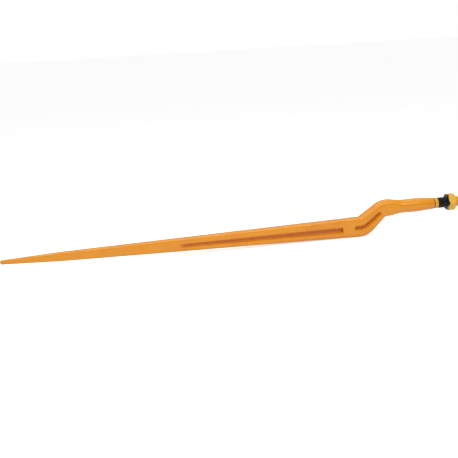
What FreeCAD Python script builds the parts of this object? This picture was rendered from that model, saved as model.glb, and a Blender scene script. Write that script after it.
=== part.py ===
"""Cranked bale spear: a drop-forged blade with a taper shank, and the hex nut that draws it into its bush.

Millimetres. X runs along the spear, the point towards -X and the thread towards +X. +Z is up as the
spear is carried: the shank's axis lies above the blade's. The origin is on the shank's axis at the
small end of its taper, which is where the spear seats in its holder.
"""

import FreeCAD
import Part

import os

import Sketcher

DRIVING_SIZES = {
    # point and blade, measured from the tip to the foot of the crank
    "blade_length": 931,
    "blade_depth": 50.3,
    "blade_width": 32,
    "blade_corner": 5,
    "blade_straight": 24,
    "point_length": 150,
    "point_depth": 22.2,
    "point_width": 19,
    "point_corner": 5,
    "tip_size": 10.6,
    "tip_corner": 4,
    "tip_flat": 5.6,
    "tip_nose": 4,
    # crank, from the blade up to the shank
    "crank_offset": 43,
    "crank_angle": 38,
    "crank_setback": 143,
    "crank_depth": 50.5,
    "crank_width": 32,
    "crank_corner": 8,
    "foot_radius": 34,
    "knee_radius": 36,
    "knee_depth": 44,
    "knee_width": 34.5,
    "knee_corner": 13,
    # taper shank
    "shank_start": 88,
    "ring_side_arc": 12,
    "shank_diameter": 35.4,
    "shoulder_diameter": 36.4,
    "shoulder_setback": 48,
    "taper_length": 25,
    "taper_large_diameter": 33.2,
    "taper_small_diameter": 30.2,
    "relief_diameter": 26.6,
    "relief_width": 2.6,
    "neck_diameter": 28.8,
    "neck_length": 8.6,
    # thread and nut
    "thread_diameter": 28,
    "thread_length": 59.8,
    "thread_chamfer": 2,
    "nut_flats": 41,
    "nut_height": 22.4,
    "nut_setback": 11,
    "nut_clearance": 0.15,
    "nut_chamfer_angle": 30,
    "nut_face_share": 0.94,
    "nut_countersink": 1.5,
    # H-section recesses in the blade and the crank
    "web_thickness": 12,
    "recess_length": 432,
    "recess_setback": 59,
    "recess_small_depth": 13,
    "recess_large_depth": 20,
    "recess_draft": 3,
    "recess_run_out": 16,
    "recess_wall_angle": 14,
    "mouth_margin": 2,
}

TIP = "-(sizes.crank_setback + sizes.crank_offset / tan(sizes.crank_angle) + sizes.blade_length)"
FOOT = f"({TIP} + sizes.blade_length)"
HEAD = "(-sizes.crank_setback)"
BLADE_AXIS = "(-sizes.crank_offset)"
THREAD_START = "(sizes.relief_width + sizes.neck_length)"
THREAD_END = f"({THREAD_START} + sizes.thread_length)"
NUT_BACK = f"({THREAD_END} - sizes.nut_setback)"
NUT_FRONT = f"({NUT_BACK} - sizes.nut_height)"


def add_sizes(doc):
    """The driving dimensions, one aliased cell each."""
    sheet = doc.addObject("Spreadsheet::Sheet", "sizes")
    for row, (name, value) in enumerate(DRIVING_SIZES.items(), start=1):
        sheet.set(f"A{row}", name)
        sheet.set(f"B{row}", str(value))
        sheet.setAlias(f"B{row}", name)
    doc.recompute()


def origin_feature(body, role):
    return next(feature for feature in body.Origin.OriginFeatures if feature.Role == role)


def add_sketch(body, name, role):
    sketch = body.newObject("Sketcher::SketchObject", name)
    sketch.AttachmentSupport = (origin_feature(body, role), [""])
    sketch.MapMode = "FlatFace"
    return sketch


def bind(sketch, constraint, name, expression):
    """Names a dimensional constraint and ties it to the sheet."""
    sketch.renameConstraint(constraint, name)
    sketch.setExpression(f"Constraints.{name}", expression)


def corner_points(sketch, corners):
    """The present place of each corner, whose two coordinates are expressions."""
    return [FreeCAD.Vector(*(float(sketch.evalExpression(place)) for place in corner), 0) for corner in corners]


def pin_corners(sketch, first, corners):
    """Joins a closed run of edges end to start and ties the start of each to its corner's expressions."""
    for index, (across, along) in enumerate(corners):
        edge = first + index
        following = first + (index + 1) % len(corners)
        sketch.addConstraint(Sketcher.Constraint("Coincident", edge, 2, following, 1))
        for kind, place in (("DistanceX", across), ("DistanceY", along)):
            start = float(sketch.evalExpression(place))
            constraint = sketch.addConstraint(Sketcher.Constraint(kind, -1, 1, edge, 1, start))
            bind(sketch, constraint, f"{kind}_{edge}", place)


def draw_polygon(sketch, corners):
    """A closed outline of straight edges."""
    first = sketch.GeometryCount
    points = corner_points(sketch, corners)
    for start, end in zip(points, points[1:] + points[:1]):
        sketch.addGeometry(Part.LineSegment(start, end))
    pin_corners(sketch, first, corners)


def draw_ring(sketch, diameter, small_arc):
    """A circle in eight arcs, which match the sides and corners of a rounded rectangle."""
    radius = f"({diameter} / 2)"
    turns = [f"({90 * side} {sign} {small_arc} / 2)" for side in (1, 2, 3, 4) for sign in "-+"]
    corners = [(f"{radius} * cos({turn})", f"{radius} * sin({turn})") for turn in turns]
    size = float(sketch.evalExpression(radius))
    circle = Part.Circle(FreeCAD.Vector(0, 0, 0), FreeCAD.Vector(0, 0, 1), size)
    points = corner_points(sketch, corners)
    for start, end in zip(points, points[1:] + points[:1]):
        begin = circle.parameter(start)
        sketch.addGeometry(Part.ArcOfCircle(circle, begin, circle.parameter(end)))
    pin_corners(sketch, 0, corners)
    for edge in range(len(corners)):
        bind(sketch, sketch.addConstraint(Sketcher.Constraint("Radius", edge, size)), f"radius_{edge}", radius)


def draw_rounded_rectangle(sketch, width, depth, corner):
    """Four sides and four corner arcs about the sketch's origin."""
    radius = float(sketch.evalExpression(corner))
    half_width = float(sketch.evalExpression(width)) / 2
    half_depth = float(sketch.evalExpression(depth)) / 2
    inner_width = half_width - radius
    inner_depth = half_depth - radius
    quarter = FreeCAD.Units.Quantity("90 deg").getValueAs("rad").Value

    def side(x1, y1, x2, y2):
        sketch.addGeometry(Part.LineSegment(FreeCAD.Vector(x1, y1, 0), FreeCAD.Vector(x2, y2, 0)))

    def arc(x, y, turn):
        circle = Part.Circle(FreeCAD.Vector(x, y, 0), FreeCAD.Vector(0, 0, 1), radius)
        sketch.addGeometry(Part.ArcOfCircle(circle, turn * quarter, (turn + 1) * quarter))

    side(inner_width, half_depth, -inner_width, half_depth)
    arc(-inner_width, inner_depth, 1)
    side(-half_width, inner_depth, -half_width, -inner_depth)
    arc(-inner_width, -inner_depth, 2)
    side(-inner_width, -half_depth, inner_width, -half_depth)
    arc(inner_width, -inner_depth, 3)
    side(half_width, -inner_depth, half_width, inner_depth)
    arc(inner_width, inner_depth, 0)
    top, top_left, left, bottom_left, bottom, bottom_right, right, top_right = range(8)
    for edge in range(8):
        sketch.addConstraint(Sketcher.Constraint("Tangent", edge, 2, (edge + 1) % 8, 1))
    for edge in (top, bottom):
        sketch.addConstraint(Sketcher.Constraint("Horizontal", edge))
    for edge in (left, right):
        sketch.addConstraint(Sketcher.Constraint("Vertical", edge))
    for edge in (bottom_left, bottom_right, top_right):
        sketch.addConstraint(Sketcher.Constraint("Equal", top_left, edge))
    sketch.addConstraint(Sketcher.Constraint("Symmetric", top_left, 3, bottom_right, 3, -1, 1))
    span = sketch.addConstraint(Sketcher.Constraint("DistanceX", left, 1, right, 2, 2 * half_width))
    bind(sketch, span, "width", width)
    span = sketch.addConstraint(Sketcher.Constraint("DistanceY", bottom, 1, top, 2, 2 * half_depth))
    bind(sketch, span, "depth", depth)
    bind(sketch, sketch.addConstraint(Sketcher.Constraint("Radius", top_left, radius)), "corner", corner)


def place_section(sketch, along, up, tilt="0"):
    """Moves a cross-section along the spear and up, and leans it back by the tilt."""
    lean = FreeCAD.Rotation(FreeCAD.Vector(-1, 0, 0), 1)
    if tilt != "0":  # a level section keeps no axis to turn about
        sketch.AttachmentOffset = FreeCAD.Placement(FreeCAD.Vector(0, 0, 0), lean)
        sketch.setExpression("AttachmentOffset.Rotation.Angle", tilt)
    sketch.setExpression("AttachmentOffset.Base.y", up)
    sketch.setExpression("AttachmentOffset.Base.z", along)


def add_section(body, name, along, up, shape, tilt="0"):
    """A rounded-rectangle cross-section; shape is its width, depth and corner radius."""
    sketch = add_sketch(body, name, "YZ_Plane")
    draw_rounded_rectangle(sketch, *shape)
    place_section(sketch, along, up, tilt)
    return sketch


def add_loft(body, kind, name, sections, ruled):
    body.Document.recompute()
    loft = body.newObject(f"PartDesign::{kind}Loft", name)
    loft.Profile = sections[0]
    loft.Sections = sections[1:]
    loft.Ruled = ruled
    body.Document.recompute()
    return loft


def add_blade(body):
    """The straight blade: blunt tip, quick-tapering point and long slim taper, ending in the shared section."""
    tip = add_section(body, "tip_end", TIP, BLADE_AXIS,
                      ("sizes.tip_flat", "sizes.tip_flat", "sizes.tip_corner * sizes.tip_flat / sizes.tip_size"))
    nose = add_section(body, "tip_nose_root", f"{TIP} + sizes.tip_nose", BLADE_AXIS,
                       ("sizes.tip_size", "sizes.tip_size", "sizes.tip_corner"))
    point = add_section(body, "point_root", f"{TIP} + sizes.point_length", BLADE_AXIS,
                        ("sizes.point_width", "sizes.point_depth", "sizes.point_corner"))
    end = add_section(body, "blade_end", f"{FOOT} - sizes.blade_straight", BLADE_AXIS,
                      ("sizes.blade_width", "sizes.blade_depth", "sizes.blade_corner"))
    add_loft(body, "Additive", "blade", [tip, nose, point, end], ruled=True)
    return end


def add_crank_line(body):
    """The crank's centre line: level, round the foot, up the slope, round the knee and level again."""
    angle = float(body.Document.getObject("sizes").crank_angle)
    line = add_sketch(body, "crank_line", "XZ_Plane")
    corners = [
        (f"{FOOT} - sizes.blade_straight", BLADE_AXIS),
        (f"{FOOT} - sizes.foot_radius * tan(sizes.crank_angle / 2)", BLADE_AXIS),
        (f"{FOOT} + sizes.foot_radius * tan(sizes.crank_angle / 2) * cos(sizes.crank_angle)",
         f"{BLADE_AXIS} + sizes.foot_radius * (1 - cos(sizes.crank_angle))"),
        (f"{HEAD} - sizes.knee_radius * tan(sizes.crank_angle / 2) * cos(sizes.crank_angle)",
         "-sizes.knee_radius * (1 - cos(sizes.crank_angle))"),
        (f"{HEAD} + sizes.knee_radius * tan(sizes.crank_angle / 2)", "0"),
        ("-sizes.shank_start", "0"),
    ]
    points = corner_points(line, corners)
    for start, end in zip(points[::2], points[1::2]):
        line.addGeometry(Part.LineSegment(start, end))
    quarter = FreeCAD.Units.Quantity("90 deg").getValueAs("rad").Value
    turn = quarter * angle / 90
    foot_radius = float(line.evalExpression("sizes.foot_radius"))
    foot_centre = points[1] + FreeCAD.Vector(0, foot_radius, 0)
    foot_circle = Part.Circle(foot_centre, FreeCAD.Vector(0, 0, 1), foot_radius)
    line.addGeometry(Part.ArcOfCircle(foot_circle, -quarter, turn - quarter))
    knee_radius = float(line.evalExpression("sizes.knee_radius"))
    knee_centre = points[4] - FreeCAD.Vector(0, knee_radius, 0)
    knee_circle = Part.Circle(knee_centre, FreeCAD.Vector(0, 0, 1), knee_radius)
    line.addGeometry(Part.ArcOfCircle(knee_circle, quarter, quarter + turn))
    blade, slope, shank, foot, knee = range(5)
    joints = [(blade, 2, foot, 1), (foot, 2, slope, 1), (slope, 2, knee, 2), (knee, 1, shank, 1)]
    for joint in joints:
        line.addConstraint(Sketcher.Constraint("Coincident", *joint))
    ends = [(blade, 1), (blade, 2), (slope, 1), (slope, 2), (shank, 1), (shank, 2)]
    for number, (end, corner) in enumerate(zip(ends, corners)):
        for kind, place in (("DistanceX", corner[0]), ("DistanceY", corner[1])):
            start = float(line.evalExpression(place))
            constraint = line.addConstraint(Sketcher.Constraint(kind, -1, 1, *end, start))
            bind(line, constraint, f"{kind}_{number}", place)
    for bend, radius in ((foot, "sizes.foot_radius"), (knee, "sizes.knee_radius")):
        value = float(line.evalExpression(radius))
        bind(line, line.addConstraint(Sketcher.Constraint("Radius", bend, value)), f"radius_{bend}", radius)
    return line


def add_crank(body, blade_end):
    """The crank: the blade's section is carried up to the shank's axis and rounded off on the way."""
    line = add_crank_line(body)
    knee_start = add_section(
        body, "knee_start",
        f"{HEAD} - sizes.knee_radius * tan(sizes.crank_angle / 2) * cos(sizes.crank_angle)",
        "-sizes.knee_radius * (1 - cos(sizes.crank_angle))",
        ("sizes.crank_width", "sizes.crank_depth", "sizes.crank_corner"), "sizes.crank_angle")
    knee_end = add_section(
        body, "knee_end", f"{HEAD} + sizes.knee_radius * tan(sizes.crank_angle / 2)", "0",
        ("sizes.knee_width", "sizes.knee_depth", "sizes.knee_corner"))
    shank = add_sketch(body, "shank_root", "YZ_Plane")
    draw_ring(shank, "sizes.shank_diameter", "sizes.ring_side_arc")
    place_section(shank, "-sizes.shank_start", "0")
    body.Document.recompute()
    crank = body.newObject("PartDesign::AdditivePipe", "crank")
    crank.Profile = blade_end
    crank.Spine = line
    crank.Mode = "Binormal"
    crank.Binormal = FreeCAD.Vector(0, 1, 0)
    crank.Transformation = "Multisection"
    crank.Sections = [knee_start, knee_end, shank]
    body.Document.recompute()


def add_shank(body):
    """The turned end: round shank, shoulder, seating taper, relief, neck and the thread's blank."""
    profile = add_sketch(body, "shank_profile", "XZ_Plane")
    draw_polygon(profile, [
        ("-sizes.shank_start", "0"),
        ("-sizes.shank_start", "sizes.shank_diameter / 2"),
        ("-sizes.shoulder_setback", "sizes.shoulder_diameter / 2"),
        ("-(sizes.shoulder_setback + sizes.taper_length) / 2", "sizes.shoulder_diameter / 2 - 0.5"),
        ("-sizes.taper_length", "sizes.taper_large_diameter / 2"),
        ("0", "sizes.taper_small_diameter / 2"),
        ("0", "sizes.relief_diameter / 2"),
        ("sizes.relief_width", "sizes.relief_diameter / 2"),
        ("sizes.relief_width", "sizes.neck_diameter / 2"),
        (THREAD_START, "sizes.neck_diameter / 2"),
        (THREAD_START, "sizes.thread_diameter / 2"),
        (f"{THREAD_END} - sizes.thread_chamfer", "sizes.thread_diameter / 2"),
        (THREAD_END, "sizes.thread_diameter / 2 - sizes.thread_chamfer"),
        (THREAD_END, "0"),
    ])
    body.Document.recompute()
    shank = body.newObject("PartDesign::Revolution", "shank")
    shank.Profile = profile
    shank.ReferenceAxis = (origin_feature(body, "X_Axis"), [""])
    shank.Angle = 360
    body.Document.recompute()


def side_sketch(body, name, distance):
    """A sketch parallel to the crank's plane, at a distance out towards -Y."""
    sketch = add_sketch(body, name, "XZ_Plane")
    sketch.setExpression("AttachmentOffset.Base.z", distance)
    return sketch


def add_blade_recess(body):
    """The long tapering recess that leaves the blade an H section, with a sloping run-out towards the point."""
    end = f"({FOOT} - sizes.recess_setback)"
    start = f"({end} - sizes.recess_length)"

    def outline(name, distance, first, last, inset):
        sketch = side_sketch(body, name, distance)
        draw_polygon(sketch, [
            (first, f"{BLADE_AXIS} - sizes.recess_small_depth / 2 + {inset}"),
            (last, f"{BLADE_AXIS} - sizes.recess_large_depth / 2 + {inset}"),
            (last, f"{BLADE_AXIS} + sizes.recess_large_depth / 2 - {inset}"),
            (first, f"{BLADE_AXIS} + sizes.recess_small_depth / 2 - {inset}"),
        ])
        return sketch

    floor = outline("blade_recess_floor", "sizes.web_thickness / 2",
                    f"{start} + sizes.recess_run_out", f"{end} - sizes.recess_draft / 2", "sizes.recess_draft")
    mouth = outline("blade_recess_mouth", "sizes.crank_width / 2 + sizes.mouth_margin", start, end, "0")
    return add_loft(body, "Subtractive", "blade_recess", [floor, mouth], ruled=True)


# corners of the crank's recess, as shares of the crank's run from foot to head and of its offset
CRANK_RECESS = [
    (-0.35, -0.11), (0.12, -0.06), (0.62, 0.37), (0.88, 0.43),
    (0.88, 0.64), (0.62, 0.66), (0.38, 0.54), (0.0, 0.23), (-0.35, 0.17),
]


def add_crank_recess(body):
    """The bent recess beyond the plain pad; its walls open outwards."""
    sketch = side_sketch(body, "crank_recess_floor", "sizes.web_thickness / 2")
    draw_polygon(sketch, [
        (f"{FOOT} + ({HEAD} - {FOOT}) * {run}", f"{BLADE_AXIS} + sizes.crank_offset * {rise}")
        for run, rise in CRANK_RECESS
    ])
    body.Document.recompute()
    recess = body.newObject("PartDesign::Pocket", "crank_recess")
    recess.Profile = sketch
    recess.Type = "Length"
    recess.Reversed = True
    recess.setExpression("Length", "sizes.crank_width / 2 + sizes.mouth_margin")
    recess.setExpression("TaperAngle", "sizes.recess_wall_angle")
    body.Document.recompute()
    return recess


def mirror_recesses(body, recesses):
    """The same recesses in the far side."""
    mirror = body.newObject("PartDesign::Mirrored", "far_recesses")
    mirror.Originals = recesses
    mirror.MirrorPlane = (origin_feature(body, "XZ_Plane"), [""])
    body.Tip = mirror
    body.Document.recompute()


def build_nut(doc):
    """Hexagon nut with both faces chamfered and its thread drawn as a plain bore."""
    body = doc.addObject("PartDesign::Body", "hex_nut")
    body.Label = "hex_nut"
    hexagon = add_sketch(body, "hexagon", "YZ_Plane")
    corner = "sizes.nut_flats / sqrt(3)"
    draw_polygon(hexagon, [(f"{corner} * cos({turn})", f"{corner} * sin({turn})") for turn in range(0, 360, 60)])
    place_section(hexagon, NUT_FRONT, "0")
    doc.recompute()
    blank = body.newObject("PartDesign::Pad", "nut_blank")
    blank.Profile = hexagon
    blank.setExpression("Length", "sizes.nut_height")
    doc.recompute()
    turned = add_sketch(body, "nut_turning", "XZ_Plane")
    face = "(sizes.nut_flats / 2 * sizes.nut_face_share)"
    rim = f"({corner} + sizes.mouth_margin)"
    drop = f"(({rim} - {face}) * tan(sizes.nut_chamfer_angle))"
    draw_polygon(turned, [(NUT_FRONT, face), (f"{NUT_FRONT} + {drop}", rim), (NUT_FRONT, rim)])
    draw_polygon(turned, [(NUT_BACK, face), (NUT_BACK, rim), (f"{NUT_BACK} - {drop}", rim)])
    doc.recompute()
    chamfers = body.newObject("PartDesign::Groove", "nut_chamfers")
    chamfers.Profile = turned
    chamfers.ReferenceAxis = (origin_feature(body, "X_Axis"), [""])
    chamfers.Angle = 360
    doc.recompute()
    bored = add_sketch(body, "nut_bore", "XZ_Plane")
    wall = "(sizes.thread_diameter / 2 + sizes.nut_clearance)"
    sink = "sizes.nut_countersink"
    draw_polygon(bored, [
        (NUT_FRONT, "0"), (NUT_FRONT, f"{wall} + {sink}"), (f"{NUT_FRONT} + {sink}", wall),
        (f"{NUT_BACK} - {sink}", wall), (NUT_BACK, f"{wall} + {sink}"), (NUT_BACK, "0"),
    ])
    doc.recompute()
    bore = body.newObject("PartDesign::Groove", "bore")
    bore.Profile = bored
    bore.ReferenceAxis = (origin_feature(body, "X_Axis"), [""])
    bore.Angle = 360
    doc.recompute()
    return body


def check(doc):
    """Stops on any object that failed to rebuild."""
    for item in doc.Objects:
        if "Invalid" in item.State or "Error" in item.State:
            raise RuntimeError(f"{item.Label} did not rebuild: {item.State}")


def export(body):
    shape = body.Shape
    if shape.isNull() or not shape.isValid() or len(shape.Solids) != 1:
        raise RuntimeError(f"{body.Label} is not one sound solid")
    shape.exportStep(os.path.join("parts", f"{body.Label}.step"))
    print(body.Label, "volume", round(shape.Volume), "box", shape.BoundBox)


def build_spear(doc):
    body = doc.addObject("PartDesign::Body", "spear")
    body.Label = "spear"
    blade_end = add_blade(body)
    add_crank(body, blade_end)
    add_shank(body)
    mirror_recesses(body, [add_blade_recess(body), add_crank_recess(body)])
    return body


def main():
    os.makedirs("parts", exist_ok=True)
    doc = FreeCAD.newDocument("bale_spear")
    add_sizes(doc)
    bodies = [build_spear(doc), build_nut(doc)]
    doc.recompute()
    check(doc)
    for body in bodies:
        export(body)


main()
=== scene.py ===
# %% [markdown]
# # A bale spear in Blender
# A bale spear is one long steel forging, painted orange, with a hexagon nut on its threaded end. The
# solid model of both pieces already exists at its real size, and this lesson gives it what a solid model
# lacks: soft forged edges, a real thread, the paint, the black phosphate finish and the light.

# %% Load the frame
import math

import bmesh
import bpy
from mathutils import Matrix, Vector


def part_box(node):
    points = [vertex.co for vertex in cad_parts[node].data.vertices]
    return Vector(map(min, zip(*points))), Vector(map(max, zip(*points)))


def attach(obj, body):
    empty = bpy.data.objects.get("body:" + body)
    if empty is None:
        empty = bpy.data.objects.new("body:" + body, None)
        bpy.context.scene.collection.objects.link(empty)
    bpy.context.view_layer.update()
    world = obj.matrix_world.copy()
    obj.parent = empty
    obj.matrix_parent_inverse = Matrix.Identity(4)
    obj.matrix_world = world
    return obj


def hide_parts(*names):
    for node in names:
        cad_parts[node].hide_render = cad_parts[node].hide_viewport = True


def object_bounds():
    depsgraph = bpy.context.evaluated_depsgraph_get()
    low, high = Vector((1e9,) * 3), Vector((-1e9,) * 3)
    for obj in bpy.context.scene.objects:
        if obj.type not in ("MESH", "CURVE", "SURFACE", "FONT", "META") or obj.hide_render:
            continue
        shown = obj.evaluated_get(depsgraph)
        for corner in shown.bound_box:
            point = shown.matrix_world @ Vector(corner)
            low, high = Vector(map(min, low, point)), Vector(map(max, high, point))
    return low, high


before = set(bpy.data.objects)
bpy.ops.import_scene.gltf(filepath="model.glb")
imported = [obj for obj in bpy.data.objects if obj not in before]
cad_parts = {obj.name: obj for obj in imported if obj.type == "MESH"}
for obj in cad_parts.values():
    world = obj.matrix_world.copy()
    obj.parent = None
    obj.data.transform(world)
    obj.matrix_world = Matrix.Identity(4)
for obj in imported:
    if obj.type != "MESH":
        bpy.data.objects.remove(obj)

CAD_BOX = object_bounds()
SPEAR_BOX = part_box("spear")
NUT_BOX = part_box("hex_nut")
MM = 0.001
TIP_X = SPEAR_BOX[0][0]
THREAD_END_X = SPEAR_BOX[1][0]
NUT_FRONT_X = NUT_BOX[0][0]
NUT_BACK_X = NUT_BOX[1][0]
print("spear from", round(TIP_X, 4), "to", round(THREAD_END_X, 4), "nut from", round(NUT_FRONT_X, 4))

# %% [markdown]
# ## Helpers for node trees
# Every finish below is a small tree: a pattern read from the object's own coordinates, so that it stays
# where it is when the piece is turned or looked at from another side, and one principled shader.


# %% Node helpers
# The mix node keeps its colour sockets after those for numbers and vectors.
FIRST_COLOUR = 6
SECOND_COLOUR = 7
MIXED_COLOUR = 2


def new_material(name):
    material = bpy.data.materials.new(name)
    material.use_nodes = True
    tree = material.node_tree
    tree.nodes.clear()
    output = tree.nodes.new("ShaderNodeOutputMaterial")
    shader = tree.nodes.new("ShaderNodeBsdfPrincipled")
    tree.links.new(shader.outputs["BSDF"], output.inputs["Surface"])
    return tree, shader, material


def feed(tree, socket, value):
    """Links a socket, or sets it when the value is a number or a colour."""
    if isinstance(value, bpy.types.NodeSocket):
        tree.links.new(value, socket)
    else:
        socket.default_value = value


def math_node(tree, operation, *values):
    node = tree.nodes.new("ShaderNodeMath")
    node.operation = operation
    for index, value in enumerate(values):
        feed(tree, node.inputs[index], value)
    return node.outputs[0]


def object_place(tree):
    """The point's place on the object, in metres, and its three coordinates."""
    place = tree.nodes.new("ShaderNodeTexCoord").outputs["Object"]
    parts = tree.nodes.new("ShaderNodeSeparateXYZ")
    tree.links.new(place, parts.inputs[0])
    return place, parts.outputs[0], parts.outputs[1], parts.outputs[2]


def axis_distance(tree, across, up):
    """How far a point lies from the thread's axis."""
    squares = [math_node(tree, "MULTIPLY", value, value) for value in (across, up)]
    return math_node(tree, "SQRT", math_node(tree, "ADD", *squares))


def noise(tree, place, scale, detail=3.0, roughness=0.5):
    node = tree.nodes.new("ShaderNodeTexNoise")
    feed(tree, node.inputs["Vector"], place)
    feed(tree, node.inputs["Scale"], scale)
    feed(tree, node.inputs["Detail"], detail)
    feed(tree, node.inputs["Roughness"], roughness)
    return node.outputs["Fac"]


def remap(tree, value, low, high, to_low, to_high):
    node = tree.nodes.new("ShaderNodeMapRange")
    for index, number in enumerate((value, low, high, to_low, to_high)):
        feed(tree, node.inputs[index], number)
    return node.outputs[0]


def mix(tree, share, first, second):
    node = tree.nodes.new("ShaderNodeMix")
    node.data_type = "RGBA"
    feed(tree, node.inputs["Factor"], share)
    feed(tree, node.inputs[FIRST_COLOUR], first)
    feed(tree, node.inputs[SECOND_COLOUR], second)
    return node.outputs[MIXED_COLOUR]


def bump(tree, height, distance, normal=None):
    node = tree.nodes.new("ShaderNodeBump")
    node.inputs["Strength"].default_value = 1.0
    node.inputs["Distance"].default_value = distance
    tree.links.new(height, node.inputs["Height"])
    if normal is not None:
        tree.links.new(normal, node.inputs["Normal"])
    return node.outputs["Normal"]


# %% [markdown]
# ## Orange enamel
# The spear is dipped or sprayed after forging. The enamel follows the scale and dents of the forged skin,
# has a fine orange-peel ripple of its own, and is a little deeper in colour where it ran.
# Two bumps, a slow one and a fine one, and a slight drift in colour and roughness show that. The relief
# groove and the side recesses are darkened in the colour as painted shade.

# %% Paint colours and the forging's finish
ORANGE = (0.87, 0.325, 0.004, 1)
DEEP_ORANGE = (0.78, 0.255, 0.008, 1)
YELLOW = (0.86, 0.47, 0.016, 1)
BLACK = (0.016, 0.013, 0.015, 1)
NUT_PAINTED_REFLECTION = (0.34, 0.27, 0.25, 1)
DEEP_YELLOW = (0.80, 0.36, 0.012, 1)
GROOVE_PAINTED_SHADE = (0.055, 0.022, 0.008, 1)
RECESS_PAINTED_SHADE = (0.62, 0.16, 0.006, 1)
BROWNED_BLACK = (0.06, 0.045, 0.04, 1)
RELIEF_WIDTH = 2.6 * MM
NECK_LENGTH = 8.6 * MM
THREAD_START_X = RELIEF_WIDTH + NECK_LENGTH
THREAD_RADIUS = 14 * MM


def painted(tree, place, base=ORANGE, deep=DEEP_ORANGE):
    """Enamel over a forged skin: returns its colour, roughness and normal."""
    drift = noise(tree, place, scale=14.0, detail=4.0)
    runs = remap(tree, drift, low=0.42, high=0.68, to_low=0.0, to_high=0.55)
    colour = mix(tree, runs, base, deep)
    skin = noise(tree, place, scale=75.0, detail=5.0, roughness=0.6)
    peel = noise(tree, place, scale=620.0, detail=2.0)
    normal = bump(tree, peel, distance=0.07 * MM, normal=bump(tree, skin, distance=0.8 * MM))
    roughness = remap(tree, skin, low=0.3, high=0.7, to_low=0.24, to_high=0.36)
    return colour, roughness, normal


def make_orange_paint():
    tree, shader, material = new_material("orange_paint")
    place, along, across, up = object_place(tree)
    colour, roughness, normal = painted(tree, place)
    radius = axis_distance(tree, across, up)
    # painted shade: the relief groove's narrow crease is darkened to brown in the colour, where shade falls
    groove_shade_mask = math_node(
        tree, "MULTIPLY",
        math_node(tree, "COMPARE", along, RELIEF_WIDTH / 2, RELIEF_WIDTH / 2),
        math_node(tree, "LESS_THAN", radius, THREAD_RADIUS))
    colour = mix(tree, groove_shade_mask, colour, GROOVE_PAINTED_SHADE)
    # painted shade: the colour darkens in the side recesses by the share stored at each point of the forging
    depth = tree.nodes.new("ShaderNodeAttribute")
    depth.attribute_name = "hollow"
    recess_shade = remap(tree, depth.outputs["Fac"], low=0.0, high=1.0, to_low=0.0, to_high=0.8)
    colour = mix(tree, recess_shade, colour, RECESS_PAINTED_SHADE)
    on_neck = math_node(
        tree, "COMPARE", along, (RELIEF_WIDTH + THREAD_START_X) / 2, NECK_LENGTH / 2)
    colour = mix(tree, math_node(tree, "MULTIPLY", on_neck, 0.7), colour, YELLOW)
    feed(tree, shader.inputs["Base Color"], colour)
    feed(tree, shader.inputs["Roughness"], roughness)
    feed(tree, shader.inputs["Normal"], normal)
    shader.inputs["Specular IOR Level"].default_value = 0.3
    shader.inputs["Coat Weight"].default_value = 0.35
    shader.inputs["Coat Roughness"].default_value = 0.1
    return material


ORANGE_PAINT = make_orange_paint()
print("finish", ORANGE_PAINT.name)

# %% [markdown]
# ## Black phosphate
# The thread is left unpainted and has an oiled black phosphate skin, which is nearly black, a little
# metallic and uneven. Past the nut the end of the thread stood in the spray and is orange again.


# %% The thread's finish
def make_black_thread():
    tree, shader, material = new_material("black_thread")
    place, along = object_place(tree)[:2]
    grain = noise(tree, place, scale=900.0, detail=3.0)
    patch = noise(tree, place, scale=160.0, detail=3.0)
    black = mix(tree, remap(tree, patch, low=0.45, high=0.75, to_low=0.0, to_high=0.5), BLACK, BROWNED_BLACK)
    sprayed = math_node(tree, "GREATER_THAN", along, NUT_BACK_X - 0.5 * MM)
    colour = painted(tree, place, YELLOW, ORANGE)[0]
    feed(tree, shader.inputs["Base Color"], mix(tree, sprayed, black, colour))
    feed(tree, shader.inputs["Roughness"], remap(tree, grain, low=0.3, high=0.7, to_low=0.28, to_high=0.5))
    feed(tree, shader.inputs["Metallic"], math_node(
        tree, "MULTIPLY", math_node(tree, "SUBTRACT", 1.0, sprayed), 0.55))
    feed(tree, shader.inputs["Normal"], bump(tree, grain, distance=0.04 * MM))
    return material


BLACK_THREAD = make_black_thread()
print("finish", BLACK_THREAD.name)

# %% [markdown]
# ## The nut's two finishes
# The nut comes black, is screwed on and then caught by the spray, so its flats are yellow and the face
# that looks towards the blade stays black with its chamfer. The chamfer is a cone about the thread's
# axis, so the border between the two colours is worked out from the same cone and gets the real scallops.

# %% The nut's finish
NUT_FLATS = NUT_BOX[1][2] - NUT_BOX[0][2]
NUT_FACE_RADIUS = NUT_FLATS / 2 * 0.94
NUT_CHAMFER = math.tan(math.radians(30))
BORDER = 0.25 * MM
RAGGEDNESS = 0.8 * MM
BORE_MARGIN = 1 * MM
REFLECTION_BELOW = -2 * MM


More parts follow.
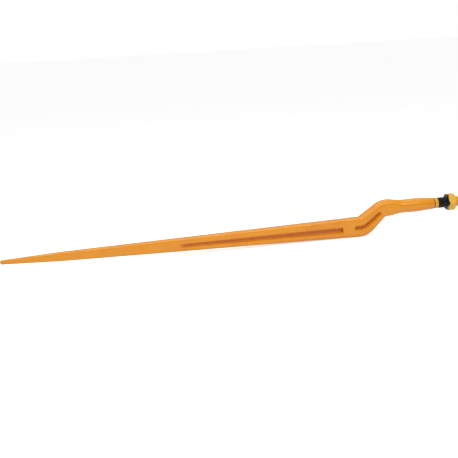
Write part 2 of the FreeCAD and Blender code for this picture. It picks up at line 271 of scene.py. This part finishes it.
def make_nut_paint():
    tree, shader, material = new_material("nut_paint")
    place, along, across, up = object_place(tree)
    radius = axis_distance(tree, across, up)
    rise = math_node(tree, "MAXIMUM", math_node(tree, "SUBTRACT", radius, NUT_FACE_RADIUS), 0.0)
    cone = math_node(tree, "MULTIPLY_ADD", rise, NUT_CHAMFER, NUT_FRONT_X + BORDER)
    unevenness = noise(tree, place, scale=420.0, detail=2.0)
    ragged = math_node(tree, "MULTIPLY_ADD", unevenness, RAGGEDNESS, cone)
    black_share = math_node(tree, "LESS_THAN", along, ragged)
    in_bore = math_node(tree, "LESS_THAN", radius, THREAD_RADIUS + BORE_MARGIN)
    black_share = math_node(tree, "MAXIMUM", black_share, in_bore)
    # painted reflection: lighter brownish patches on the lower part of the black face stand for light
    # reflected from below
    reflection_patches = remap(tree, noise(tree, place, scale=110.0, detail=4.0),
                   low=0.56, high=0.62, to_low=0.0, to_high=0.8)
    reflection_share = math_node(tree, "MULTIPLY", reflection_patches, math_node(tree, "LESS_THAN", up, REFLECTION_BELOW))
    black = mix(tree, reflection_share, BLACK, NUT_PAINTED_REFLECTION)
    colour, roughness, normal = painted(tree, place, YELLOW, DEEP_YELLOW)
    feed(tree, shader.inputs["Base Color"], mix(tree, black_share, colour, black))
    feed(tree, shader.inputs["Roughness"], roughness)
    feed(tree, shader.inputs["Metallic"], math_node(tree, "MULTIPLY", black_share, 0.5))
    feed(tree, shader.inputs["Normal"], normal)
    return material


NUT_PAINT = make_nut_paint()
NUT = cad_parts["hex_nut"]
NUT.data.materials.clear()
NUT.data.materials.append(NUT_PAINT)
print("finish", NUT_PAINT.name, "nut across flats", round(NUT_FLATS / MM, 2), "mm")

# %% [markdown]
# ## The forging
# The forging is one piece whose cross-section changes slowly along a bent centre line: square and thin at
# the tip, a deep rounded rectangle with a hollow in each side along the blade, and round at the shank.
# A shape that follows such a rule is best swept: one closed ring of points is placed at each station of
# the line and neighbouring rings are joined. The hollow's upper lip is one broad round and its lower wall
# is steep, which makes it read as a dark band over a bright one under a high light, and the colour is
# darkened there as well as painted shade.

# %% The forging's sizes, in millimetres
BLADE_AXIS = -43.0
FOOT = -198.04
HEAD = -143.0
CRANK_TURN = math.radians(38)
FOOT_RADIUS = 34.0
KNEE_RADIUS = 36.0
SHANK_START = -88.0
TIP = TIP_X / MM
BEND_START = FOOT - FOOT_RADIUS * math.tan(CRANK_TURN / 2)
BEND_LENGTH = FOOT_RADIUS * CRANK_TURN
SLOPE_X = BEND_START + FOOT_RADIUS * math.sin(CRANK_TURN)
SLOPE_Z = BLADE_AXIS + FOOT_RADIUS * (1 - math.cos(CRANK_TURN))
KNEE_START = HEAD - KNEE_RADIUS * math.tan(CRANK_TURN / 2) * math.cos(CRANK_TURN)
KNEE_END = HEAD + KNEE_RADIUS * math.tan(CRANK_TURN / 2)
KNEE_DROP = KNEE_RADIUS * (1 - math.cos(CRANK_TURN))
SLOPE_LENGTH = math.hypot(KNEE_START - SLOPE_X, -KNEE_DROP - SLOPE_Z)
WEB = 12.0
BLADE_WIDTH = 32.0
BLADE_DEPTH = 50.3
BLADE_CORNER = 7.0
print("crank from", round(BEND_START, 1), "to", round(KNEE_END, 1), "mm")

# %% [markdown]
# ## One ring of the forging
# A die leaves every section with flat sides, rounded corners and, where it is an H, a recess in each side.
# A ring could be cut from a solid by a plane, but points laid out by one rule always come in the same
# number and order, so that neighbouring rings join without a twist.

# %% One ring
QUARTER = math.pi / 2
CORNER_STEPS = 8
LIP_STEPS = 6
LIP_SHARE = 0.6
FULL_SHADE_DEPTH = 5
BORDER_HEIGHT = 1
FOOT_SHARE = 0.8
FOOT_SHADE = 0.1


def corner_arc(corner):
    """Steps along and out from where a rounded corner begins."""
    turns = [QUARTER * step / CORNER_STEPS for step in range(1, CORNER_STEPS)]
    return [(corner * math.cos(turn), corner * math.sin(turn)) for turn in turns]


def recessed_side(side_end, hollow, top, bottom, foot):
    """One side from top to bottom: height, how far inward, and how much painted shade darkens the colour
    there.
    """
    lip = LIP_SHARE * (top - bottom - foot)
    shade = min(1.0, hollow / FULL_SHADE_DEPTH)
    side = [(side_end, 0.0, 0.0), (top + BORDER_HEIGHT, 0.0, 0.0)]
    for step in range(LIP_STEPS + 1):
        turn = QUARTER * step / LIP_STEPS
        inward = 1 - math.cos(turn)
        side.append((top - lip * math.sin(turn), hollow * inward, shade * inward))
    side.append((bottom + foot, hollow, shade))
    side.append((bottom + foot * FOOT_SHARE, hollow * FOOT_SHARE, FOOT_SHADE * shade))
    side += [(bottom, 0.0, 0.0), (bottom - BORDER_HEIGHT, 0.0, 0.0), (-side_end, 0.0, 0.0)]
    return [(min(max(up, -side_end), side_end), inward, dark) for up, inward, dark in side]


def ring(width, depth, corner, hollow=0.0, top=5.0, bottom=-5.0, foot=3.0):
    """Points across (y) and up (v) of one section; hollow is how deep each side's recess is."""
    half, high = width / 2, depth / 2
    side_end = high - corner
    flat = half - corner
    side = recessed_side(side_end, hollow, top, bottom, foot)
    arc = corner_arc(corner)
    points = [(-(half - inward), up, dark) for up, inward, dark in side]
    points += [(-flat - along, -side_end - out, 0.0) for along, out in arc]
    points += [(-flat, -high, 0.0), (flat, -high, 0.0)]
    points += [(flat + along, -side_end - out, 0.0) for along, out in reversed(arc)]
    points += [(half - inward, up, dark) for up, inward, dark in reversed(side)]
    points += [(flat + along, side_end + out, 0.0) for along, out in arc]
    points += [(flat, high, 0.0), (-flat, high, 0.0)]
    points += [(-flat - along, side_end + out, 0.0) for along, out in reversed(arc)]
    return points


def place_ring(points, along, up, tilt=0.0):
    """Each point's place in the frame, and how much painted shade darkens the colour there."""
    return [(Vector((along - v * math.sin(tilt), y, up + v * math.cos(tilt))) * MM, dark)
            for y, v, dark in points]


def between(low, high, share):
    share = min(max(share, 0.0), 1.0)
    return low + (high - low) * share


print("a plain ring has", len(ring(BLADE_WIDTH, BLADE_DEPTH, BLADE_CORNER)), "points")

# %% [markdown]
# ## Point and blade
# The point is a small blunt nose behind which the bar grows quickly, and the blade then grows slowly to
# the crank. Its recess runs out gently towards the point and ends steeply at the pad. Both follow straight
# rules, so stations stand close together only where the recess begins and ends.

# %% Rings of the point and the blade
RECESS_START_HEIGHT = 13
RECESS_END_HEIGHT = 20
RECESS_FOOT = 3.0
HOLLOW_END = FOOT - 59
HOLLOW_START = HOLLOW_END - 432
RUN_OUT = 16.0
POINT_ROOT = TIP + 150
ROOT_WIDTH = 19
ROOT_DEPTH = 22.2
ROOT_CORNER = 5
NOSE = ((0, 5.6, 2.0), (1.2, 8.6, 3.2))
NOSE_LENGTH = 4
NOSE_SIZE = 10.6
NOSE_CORNER = 4
POINT_SHARES = (0.0, 0.01, 0.2, 0.4, 0.6, 0.8, 0.98)


def point_rings():
    for away, size, corner in NOSE:
        yield place_ring(ring(size, size, corner), TIP + away, BLADE_AXIS)
    for share in POINT_SHARES:
        width = between(NOSE_SIZE, ROOT_WIDTH, share)
        depth = between(NOSE_SIZE, ROOT_DEPTH, share)
        corner = between(NOSE_CORNER, ROOT_CORNER, share)
        yield place_ring(ring(width, depth, corner), between(TIP + NOSE_LENGTH, POINT_ROOT, share), BLADE_AXIS)


def blade_ring(along):
    share = (along - POINT_ROOT) / (BEND_START - POINT_ROOT)
    width = between(ROOT_WIDTH, BLADE_WIDTH, share)
    depth = between(ROOT_DEPTH, BLADE_DEPTH, share)
    corner = between(ROOT_CORNER, BLADE_CORNER, share)
    run = (along - HOLLOW_START) / (HOLLOW_END - HOLLOW_START)
    high = between(RECESS_START_HEIGHT, RECESS_END_HEIGHT, run) / 2
    foot = RECESS_FOOT * high / (RECESS_END_HEIGHT / 2)
    deep = 0.0
    if HOLLOW_START <= along <= HOLLOW_END:
        deep = (width / 2 - WEB / 2) * min(1.0, (along - HOLLOW_START) / RUN_OUT)
    return place_ring(ring(width, depth, corner, deep, high, -high, foot), along, BLADE_AXIS)


def blade_rings():
    even = HOLLOW_END - HOLLOW_START - RUN_OUT - 2
    places = [POINT_ROOT + away for away in (4, 40, 100)]
    places += [HOLLOW_START - away for away in (30, 1)]
    places += [HOLLOW_START + RUN_OUT * step / 6 for step in range(7)]
    places += [HOLLOW_START + RUN_OUT + 1 + even * step / 12 for step in range(13)]
    places += [HOLLOW_END + away for away in (-0.4, 0.8, 3)]
    for along in places:
        yield blade_ring(along)


print("blade recess from", round(HOLLOW_START, 1), "to", round(HOLLOW_END, 1), "mm")

# %% [markdown]
# ## Crank and shank
# The crank is a foot bend, a straight slope and a knee, and the bar turns from rectangular to round on
# the way. A recess of its own follows the bend. Behind the knee the shank is turned: a barrel, the taper
# that seats in the bush, the relief groove and the neck. Rings tilted along the true arcs give all of it.

# %% Rings of the crank and the shank
CRANK_HOLLOW_DEPTH = 9.6
CRANK_HOLLOW_LEAD = 14.0
CRANK_HOLLOW_FROM = BEND_START - CRANK_HOLLOW_LEAD
CRANK_HOLLOW_LENGTH = CRANK_HOLLOW_LEAD + BEND_LENGTH + SLOPE_LENGTH
CRANK_HOLLOW_TOP = 8.5
SLOPE_HOLLOW_TOP = 7.5
CRANK_HOLLOW_BOTTOM = -6.5
START_RUN = 5.0
END_RUN = 7.0
RUN_CURVE = 0.6
BEND_DEPTH = 50.0
BEND_CORNER = 7.5
KNEE_WIDTH = 33.5
KNEE_DEPTH = 44
KNEE_CORNER = 13
SHANK_SIZE = 35.4
HAIR = 0.01
# Each station's place along the axis and its diameter: barrel, seating taper, relief groove and neck.
TURNED = (
    (-60, 36.2), (-50, 36.4), (-46, 36.3), (-36, 35.4), (-26.5, 33.5), (-25, 33.2), (-24, 33.1), (-1, 30.4),
    (-0.4, 30.2), (0, 29.6), (0.05, 26.7), (0.4, 26.6), (2.2, 26.6), (2.55, 26.7), (2.6, 28.2), (3.1, 28.8),
    (10.7, 28.8), (THREAD_START_X / MM, 28.2),
)


def crank_hollow(travel):
    """How deep the crank's own recess is, from its travel along the centre line."""
    rise = min(travel / START_RUN, (CRANK_HOLLOW_LENGTH - travel) / END_RUN, 1.0)
    return CRANK_HOLLOW_DEPTH * max(0.0, rise) ** RUN_CURVE


def crank_rings():
    """The pad's end, the foot bend and the slope."""
    for step in range(9):
        along = between(CRANK_HOLLOW_FROM - 3, BEND_START, step / 8)
        deep = crank_hollow(along - CRANK_HOLLOW_FROM)
        section = ring(BLADE_WIDTH, BLADE_DEPTH, BLADE_CORNER, deep, CRANK_HOLLOW_TOP, CRANK_HOLLOW_BOTTOM)
        yield place_ring(section, along, BLADE_AXIS)
    for step in range(1, 11):
        turn = CRANK_TURN * step / 10
        deep = crank_hollow(CRANK_HOLLOW_LEAD + FOOT_RADIUS * turn)
        section = ring(BLADE_WIDTH, BEND_DEPTH, BEND_CORNER, deep, CRANK_HOLLOW_TOP, CRANK_HOLLOW_BOTTOM)
        yield place_ring(section, BEND_START + FOOT_RADIUS * math.sin(turn),
                         BLADE_AXIS + FOOT_RADIUS * (1 - math.cos(turn)), turn)
    for step in range(1, 13):
        share = step / 12
        deep = crank_hollow(CRANK_HOLLOW_LEAD + BEND_LENGTH + SLOPE_LENGTH * share)
        section = ring(between(BLADE_WIDTH, KNEE_WIDTH, share), between(BEND_DEPTH, KNEE_DEPTH, share),
                       between(BEND_CORNER, KNEE_CORNER, share), deep, SLOPE_HOLLOW_TOP, CRANK_HOLLOW_BOTTOM)
        yield place_ring(section, between(SLOPE_X, KNEE_START, share), between(SLOPE_Z, -KNEE_DROP, share),
                         CRANK_TURN)


def shank_rings():
    """The knee, the rounding shank and its turned end."""
    for step in range(1, 11):
        turn = CRANK_TURN * (1 - step / 10)
        yield place_ring(ring(KNEE_WIDTH, KNEE_DEPTH, KNEE_CORNER), KNEE_END - KNEE_RADIUS * math.sin(turn),
                         -KNEE_RADIUS * (1 - math.cos(turn)), turn)
    for step in range(1, 9):
        share = step / 8
        smooth = share * share * (3 - 2 * share)
        depth = between(KNEE_DEPTH, SHANK_SIZE, smooth)
        width = between(KNEE_WIDTH, SHANK_SIZE, smooth)
        corner = between(KNEE_CORNER, SHANK_SIZE / 2 - HAIR, smooth)
        yield place_ring(ring(width, depth, corner), between(KNEE_END, SHANK_START, share), 0)
    for along, diameter in TURNED:
        yield place_ring(ring(diameter, diameter, diameter / 2 - HAIR), along, 0)


def stations():
    """Every ring from the tip to the neck."""
    yield from point_rings()
    yield from blade_rings()
    yield from crank_rings()
    yield from shank_rings()


print("stations", len(list(stations())))

# %% [markdown]
# ## Join the rings
# Hot steel is squeezed in the die as one body, so the skin has to be closed. Neighbouring rings are
# joined by strips, both ends get a cap, and points that fall together are welded.

# %% Sweep the forging
FORGING_WELD = 0.004 * MM


def shade_by_angle(mesh, degrees):
    limit = math.radians(degrees)
    shell = bmesh.new()
    shell.from_mesh(mesh)
    for face in shell.faces:
        face.smooth = True
    for edge in shell.edges:
        edge.smooth = len(edge.link_faces) == 2 and edge.calc_face_angle(0) < limit
    shell.to_mesh(mesh)
    shell.free()


def apply_modifiers(piece):
    """Turns the piece and its modifiers into one plain mesh."""
    graph = bpy.context.evaluated_depsgraph_get()
    finished = bpy.data.meshes.new_from_object(piece.evaluated_get(graph))
    piece.modifiers.clear()
    piece.data = finished


def forged_body():
    shell = bmesh.new()
    # this layer carries each point's share of painted shade in the recesses
    shade_layer = shell.verts.layers.float.new("hollow")
    rings = []
    for points in stations():
        rings.append([])
        for point, dark in points:
            corner = shell.verts.new(point)
            corner[shade_layer] = dark
            rings[-1].append(corner)
    for near, far in zip(rings, rings[1:]):
        for index in range(len(near)):
            after = (index + 1) % len(near)
            shell.faces.new((near[index], near[after], far[after], far[index]))
    shell.faces.new(rings[0])
    shell.faces.new(rings[-1])
    bmesh.ops.remove_doubles(shell, verts=shell.verts, dist=FORGING_WELD)
    bmesh.ops.recalc_face_normals(shell, faces=shell.faces)
    mesh = bpy.data.meshes.new("forging")
    shell.to_mesh(mesh)
    shell.free()
    piece = bpy.data.objects.new("forging", mesh)
    bpy.context.scene.collection.objects.link(piece)
    return piece


FORGING = forged_body()
shade_by_angle(FORGING.data, degrees=48)
FORGING.data.materials.append(ORANGE_PAINT)
print("forging", len(FORGING.data.polygons), "faces")

# %% [markdown]
# ## The thread
# A metric thread is one ridge that winds round the shank, so a formula describes it all. Geometry Nodes
# take a flat grid, roll it into a tube and lift each point by how near it lies to the helix. The end is
# held under a cone for the chamfer, and the first turns fade out where the die ran off.

# %% The thread's sizes
PITCH = 1.5 * MM
THREAD_DEPTH = 0.92 * MM
THREAD_CHAMFER = 2 * MM
THREAD_WELD = 0.01 * MM
ROWS_PER_PITCH = 6.0
POINTS_AROUND = 73
FLANK_STEEPNESS = 1.15
FADE_TURNS = 2.0
print("thread of pitch", PITCH / MM, "mm from", round(THREAD_START_X / MM, 2), "mm")

# %% [markdown]
# ## The thread's node tree
# The tree has an input for each size, so another pitch or length is one number away. A ridge could also
# be modelled once and repeated by a screw modifier, but the formula lets it fade out and meet the chamfer.

# %% The thread's tree
def thread_tree():
    tree = bpy.data.node_groups.new("helical_thread", "GeometryNodeTree")
    tree.interface.new_socket("Geometry", in_out="OUTPUT", socket_type="NodeSocketGeometry")
    for name in ("Start", "Length", "Radius", "Depth", "Pitch", "Chamfer"):
        tree.interface.new_socket(name, in_out="INPUT", socket_type="NodeSocketFloat")
    tree.interface.new_socket("Material", in_out="INPUT", socket_type="NodeSocketMaterial")
    inputs = tree.nodes.new("NodeGroupInput").outputs

    def calc(operation, *values):
        return math_node(tree, operation, *values)

    grid = tree.nodes.new("GeometryNodeMeshGrid")
    feed(tree, grid.inputs["Size X"], inputs["Length"])
    grid.inputs["Size Y"].default_value = 2 * math.pi
    rows = calc("ROUND", calc("MULTIPLY", calc("DIVIDE", inputs["Length"], inputs["Pitch"]), ROWS_PER_PITCH))
    feed(tree, grid.inputs["Vertices X"], rows)
    grid.inputs["Vertices Y"].default_value = POINTS_AROUND
    flat = tree.nodes.new("ShaderNodeSeparateXYZ")
    tree.links.new(tree.nodes.new("GeometryNodeInputPosition").outputs[0], flat.inputs[0])
    along = calc("ADD", flat.outputs[0], calc("MULTIPLY", inputs["Length"], 0.5))
    turn = flat.outputs[1]
    phase = calc("SUBTRACT", calc("DIVIDE", along, inputs["Pitch"]), calc("DIVIDE", turn, 2 * math.pi))
    ridge = calc("MULTIPLY", calc("PINGPONG", phase, 0.5), 2.0)
    ridge = calc("MINIMUM", calc("MULTIPLY", ridge, FLANK_STEEPNESS), 1.0)
    fade = calc("MINIMUM", calc("DIVIDE", along, calc("MULTIPLY", inputs["Pitch"], FADE_TURNS)), 1.0)
    sunk = calc("MULTIPLY", calc("MULTIPLY", calc("SUBTRACT", 1.0, ridge), inputs["Depth"]), fade)
    radius = calc("SUBTRACT", inputs["Radius"], sunk)
    left = calc("SUBTRACT", inputs["Length"], along)
    under_cone = calc("ADD", calc("SUBTRACT", inputs["Radius"], inputs["Chamfer"]), left)
    radius = calc("MINIMUM", radius, under_cone)
    place = tree.nodes.new("ShaderNodeCombineXYZ")
    feed(tree, place.inputs[0], calc("ADD", inputs["Start"], along))
    feed(tree, place.inputs[1], calc("MULTIPLY", radius, calc("COSINE", turn)))
    feed(tree, place.inputs[2], calc("MULTIPLY", radius, calc("SINE", turn)))
    roll = tree.nodes.new("GeometryNodeSetPosition")
    tree.links.new(grid.outputs["Mesh"], roll.inputs["Geometry"])
    tree.links.new(place.outputs[0], roll.inputs["Position"])
    weld = tree.nodes.new("GeometryNodeMergeByDistance")
    tree.links.new(roll.outputs[0], weld.inputs["Geometry"])
    weld.inputs["Distance"].default_value = THREAD_WELD
    realize = tree.nodes.new("GeometryNodeRealizeInstances")
    tree.links.new(weld.outputs[0], realize.inputs[0])
    finish = tree.nodes.new("GeometryNodeSetMaterial")
    tree.links.new(realize.outputs[0], finish.inputs["Geometry"])
    tree.links.new(inputs["Material"], finish.inputs["Material"])
    output = tree.nodes.new("NodeGroupOutput")
    tree.links.new(finish.outputs[0], output.inputs[0])
    return tree


# %% [markdown]
# ## The finished thread
# On the real spear the thread is cut from the same bar. Here its tube is closed at both ends and kept as
# a plain mesh, so that it can be exported and baked like any other piece.

# %% Roll the thread
def make_thread():
    mesh = bpy.data.meshes.new("thread")
    piece = bpy.data.objects.new("thread", mesh)
    bpy.context.scene.collection.objects.link(piece)
    modifier = piece.modifiers.new("thread", "NODES")
    modifier.node_group = thread_tree()
    sizes = {
        "Start": THREAD_START_X, "Length": THREAD_END_X - THREAD_START_X, "Radius": THREAD_RADIUS,
        "Depth": THREAD_DEPTH, "Pitch": PITCH, "Chamfer": THREAD_CHAMFER, "Material": BLACK_THREAD,
    }
    for socket in modifier.node_group.interface.items_tree:
        if socket.in_out == "INPUT":
            modifier[socket.identifier] = sizes[socket.name]
    apply_modifiers(piece)
    shell = bmesh.new()
    shell.from_mesh(piece.data)
    rims = [edge for edge in shell.edges if edge.is_boundary]
    bmesh.ops.holes_fill(shell, edges=rims, sides=0)
    bmesh.ops.recalc_face_normals(shell, faces=shell.faces)
    shell.to_mesh(piece.data)
    shell.free()
    for face in piece.data.polygons:
        face.material_index = 0
    piece.data.materials.clear()
    piece.data.materials.append(BLACK_THREAD)
    shade_by_angle(piece.data, degrees=50)
    return piece


THREAD = make_thread()
print("thread", len(THREAD.data.polygons), "faces")

# %% [markdown]
# ## What moves with what
# Nothing on the spear moves in use, so the forging and its thread ride on the one body and together
# stand for the solid model's spear; the nut keeps its own solid.

# %% Ride and replace, and print the finishes
for piece, slot in ((FORGING, "orange_paint"), (THREAD, "black_thread")):
    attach(piece, "root")
    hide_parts("spear")
    print(piece.name, "has finish", slot)

# %% [markdown]
# ## Camera
# A long lens from slightly above and to one side shows the whole length with the crank's shape in view.
# The camera is placed from the tip, which lies at the left edge of the frame.

# %% Place the camera
YAW = math.radians(12.5)
ELEVATION = math.radians(12.0)
ROLL = math.radians(-2.97)
LENS_LENGTH = 78.603
SENSOR_WIDTH = 36
CAMERA_FROM_TIP = Vector((0.0345, -2.4263, 0.5557))


def place_camera():
    lens = bpy.data.cameras.new("camera")
    lens.sensor_width = SENSOR_WIDTH
    lens.lens = LENS_LENGTH
    lens.dof.use_dof = False
    camera = bpy.data.objects.new("camera", lens)
    bpy.context.scene.collection.objects.link(camera)
    bpy.context.scene.camera = camera
    forward = Vector((math.sin(YAW) * math.cos(ELEVATION), math.cos(YAW) * math.cos(ELEVATION),
                      -math.sin(ELEVATION)))
    level = forward.cross(Vector((0, 0, 1))).normalized()
    upright = level.cross(forward)
    right = math.cos(ROLL) * level + math.sin(ROLL) * upright
    up = math.cos(ROLL) * upright - math.sin(ROLL) * level
    turn = Matrix((right, up, -forward)).transposed()
    tip = Vector((TIP_X, 0, BLADE_AXIS * MM))
    camera.matrix_world = Matrix.Translation(tip + CAMERA_FROM_TIP) @ turn.to_4x4()
    return camera


CAMERA = place_camera()
print("camera at", [round(value, 3) for value in CAMERA.location])

# %% [markdown]
# ## Floor and light
# A studio for a painted part is plain: a white floor, an even white room and two long soft boxes. The
# narrow one above the front draws the bright line along the round shank, and the wide one overhead
# lights the top. Floor and room look white to the eye but light the paint at a lower level.


# %% Floor and room
FLOOR_SIZE = 30.0
FLOOR_GAP = 0.5 * MM
FLOOR_LIGHT = (0.82, 0.82, 0.82, 1)
FLOOR_DARK = (0.80, 0.80, 0.80, 1)
FLOOR_ROUGHNESS = 0.9
FLOOR_GLOW = 0.62
ROOM_LEVEL = 0.42


def seen_directly(tree):
    """1 for rays from the eye, from a mirror or through glass."""
    rays = tree.nodes.new("ShaderNodeLightPath").outputs
    share = rays["Is Camera Ray"]
    for name in ("Is Glossy Ray", "Is Transmission Ray"):
        share = math_node(tree, "MAXIMUM", share, rays[name])
    return share


def make_floor():
    mesh = bpy.data.meshes.new("floor")
    half = FLOOR_SIZE / 2
    height = CAD_BOX[0][2] - FLOOR_GAP
    corners = [(-half, -half, height), (half, -half, height), (half, half, height), (-half, half, height)]
    mesh.from_pydata(corners, [], [(0, 1, 2, 3)])
    floor = bpy.data.objects.new("floor", mesh)
    bpy.context.scene.collection.objects.link(floor)
    tree, shader, material = new_material("white_sweep")
    place = object_place(tree)[0]
    shader.inputs["Roughness"].default_value = FLOOR_ROUGHNESS
    tint = mix(tree, noise(tree, place, scale=3.0), FLOOR_DARK, FLOOR_LIGHT)
    feed(tree, shader.inputs["Base Color"], tint)
    shader.inputs["Emission Color"].default_value = (1, 1, 1, 1)
    glow = math_node(tree, "MULTIPLY", seen_directly(tree), FLOOR_GLOW)
    feed(tree, shader.inputs["Emission Strength"], glow)
    mesh.materials.append(material)


def make_room():
    room = bpy.data.worlds.new("room")
    bpy.context.scene.world = room
    room.use_nodes = True
    tree = room.node_tree
    background = tree.nodes["Background"]
    background.inputs["Color"].default_value = (1, 1, 1, 1)
    from_eye = tree.nodes.new("ShaderNodeLightPath").outputs["Is Camera Ray"]
    strength = math_node(tree, "MULTIPLY_ADD", from_eye, 1 - ROOM_LEVEL, ROOM_LEVEL)
    feed(tree, background.inputs["Strength"], strength)


def soft_box(name, power, place, target, width, depth):
    lamp = bpy.data.lights.new(name, "AREA")
    lamp.shape = "RECTANGLE"
    lamp.size = width
    lamp.size_y = depth
    lamp.energy = power
    box = bpy.data.objects.new(name, lamp)
    bpy.context.scene.collection.objects.link(box)
    aim = (Vector(target) - Vector(place)).to_track_quat("-Z", "Y")
    box.matrix_world = Matrix.Translation(place) @ aim.to_matrix().to_4x4()
    return box


make_floor()
make_room()
middle = (CAD_BOX[0] + CAD_BOX[1]) / 2
soft_box("front_box", power=15, place=(middle.x, -1.05, 1.25), target=middle, width=2.6, depth=0.2)
soft_box("top_box", power=14, place=(middle.x, 0.5, 1.7), target=middle, width=2.4, depth=0.6)
bpy.context.scene.view_settings.view_transform = "Standard"
print("lit from", round(middle.x, 3))
